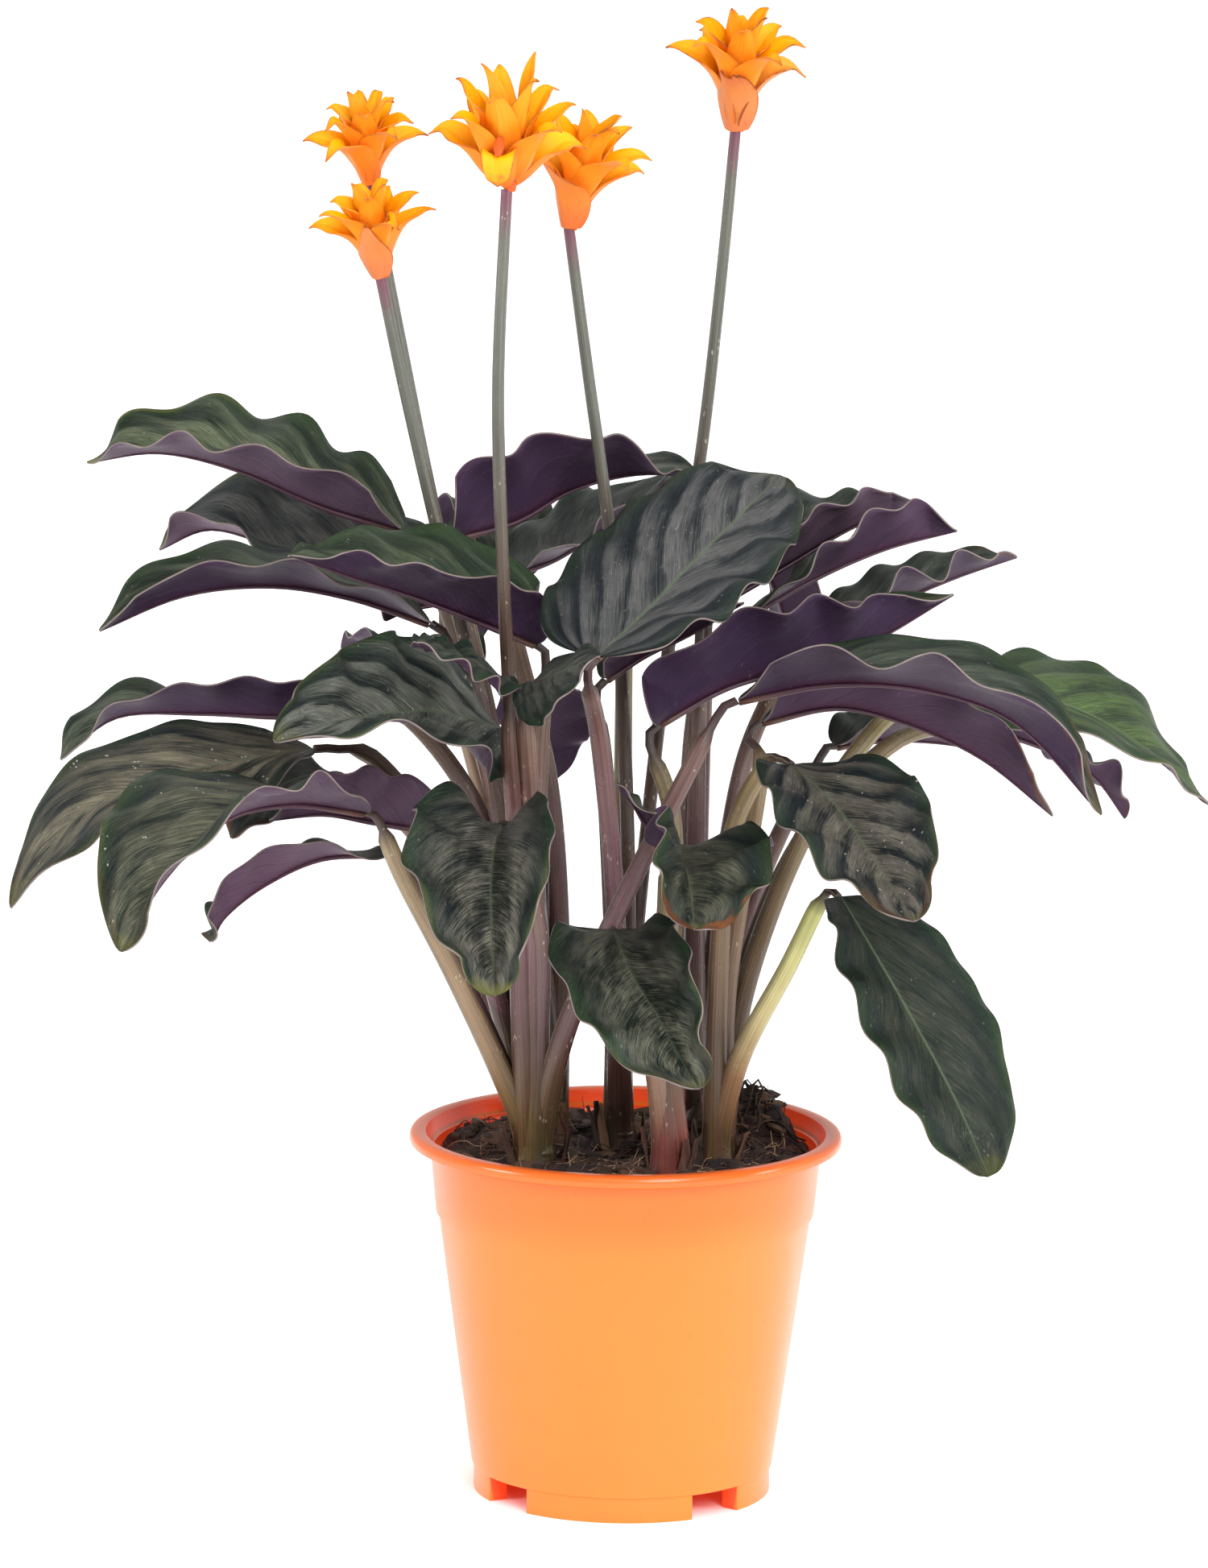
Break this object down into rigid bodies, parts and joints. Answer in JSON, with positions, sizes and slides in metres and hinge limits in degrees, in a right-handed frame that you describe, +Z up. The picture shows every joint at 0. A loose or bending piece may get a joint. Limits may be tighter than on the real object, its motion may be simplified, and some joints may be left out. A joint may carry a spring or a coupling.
{
  "type": "potted calathea plant",
  "caption": "Eternal flame calathea with waved dark leaves, purple beneath, and upright stalks of orange bract rosettes, in a filled orange plastic nursery pot.",
  "frame": {"origin": "on the surface the pot stands on, at the pot's axis, which lies within 4 mm of the middle of the plant's bounding box", "axes": "+Z up along the pot's axis; +X to the right and +Y away from the viewer, seen from the pictured front"},
  "size_m": [0.3872, 0.2616, 0.4771],
  "materials": {
    "pot": "satin",
    "soil": "matte",
    "stems": "satin",
    "leaves": "satin",
    "bracts": "satin"
  },
  "bodies": {
    "root": {"pot": "pot", "soil": "soil", "shoot_left": "stems", "shoot_middle": "stems", "shoot_front": "stems", "shoot_right": "stems", "shoot_back_left": "stems", "shoot_back_right": "stems", "leaf_upper_left_1": "leaves", "leaf_upper_left_2": "leaves", "leaf_left_1": "leaves", "leaf_left_2": "leaves", "leaf_top_middle": "leaves", "leaf_behind_middle": "leaves", "leaf_middle_big": "leaves", "leaf_middle_small_right": "leaves", "leaf_middle_small_left": "leaves", "leaf_left_facing": "leaves", "leaf_left_edge_on": "leaves", "leaf_left_big": "leaves", "leaf_left_front": "leaves", "leaf_left_dark": "leaves", "leaf_left_purple": "leaves", "leaf_left_low": "leaves", "leaf_front_left": "leaves", "leaf_front_small": "leaves", "leaf_front_curl": "leaves", "leaf_front_middle": "leaves", "leaf_right_facing": "leaves", "leaf_right_hanging": "leaves", "leaf_right_long": "leaves", "leaf_right_low": "leaves", "leaf_right_green": "leaves", "leaf_right_tip": "leaves", "leaf_right_purple": "leaves", "leaf_upper_right_1": "leaves", "leaf_upper_right_2": "leaves", "leaf_upper_right_3": "leaves", "leaf_low_right": "leaves", "leaf_low_left_back": "leaves", "leaf_hanging_back": "leaves", "leaf_back_1": "leaves", "leaf_back_2": "leaves", "leaf_back_3": "leaves", "leaf_middle_low": "leaves", "leaf_back_5": "leaves", "flower_back_left": "bracts", "flower_front_left": "bracts", "flower_left": "bracts", "flower_right": "bracts", "flower_tall": "bracts"}
  },
  "joints": []
}
